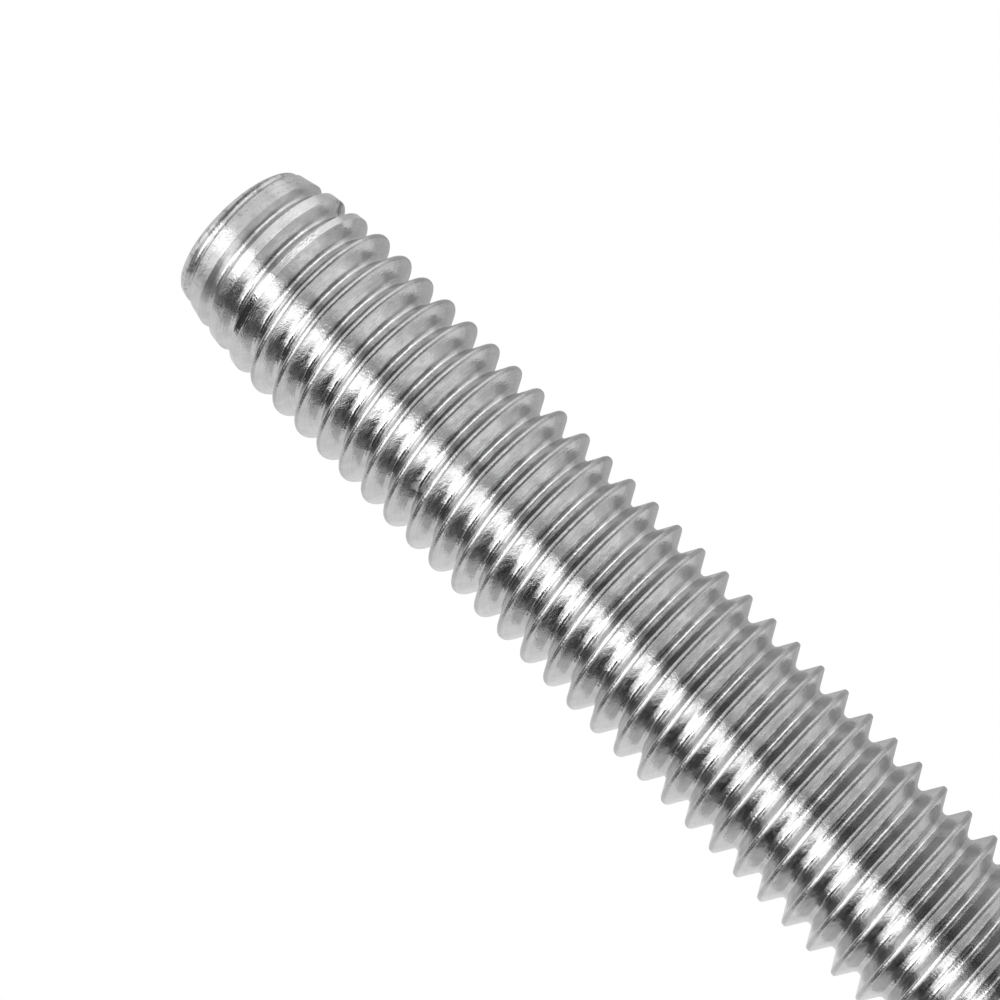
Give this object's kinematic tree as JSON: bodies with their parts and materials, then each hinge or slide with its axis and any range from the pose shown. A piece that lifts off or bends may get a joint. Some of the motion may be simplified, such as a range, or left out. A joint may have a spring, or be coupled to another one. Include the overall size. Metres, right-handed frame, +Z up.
{
  "type": "threaded rod",
  "caption": "Straight round steel rod with a right-hand screw thread along its whole length and a tapered lead-in at each flat end.",
  "frame": {"origin": "centre of the lower end face, on the rod's axis", "axes": "+Z up along the rod; the thread is right-handed about it, and -Y faces the viewer"},
  "size_m": [0.0078, 0.0078, 0.07],
  "materials": {
    "zinc_plated_steel": "bright zinc plate over a rolled thread, with fine rolling lines along the flanks"
  },
  "bodies": {
    "root": {"threaded_rod": "zinc_plated_steel"}
  },
  "joints": []
}
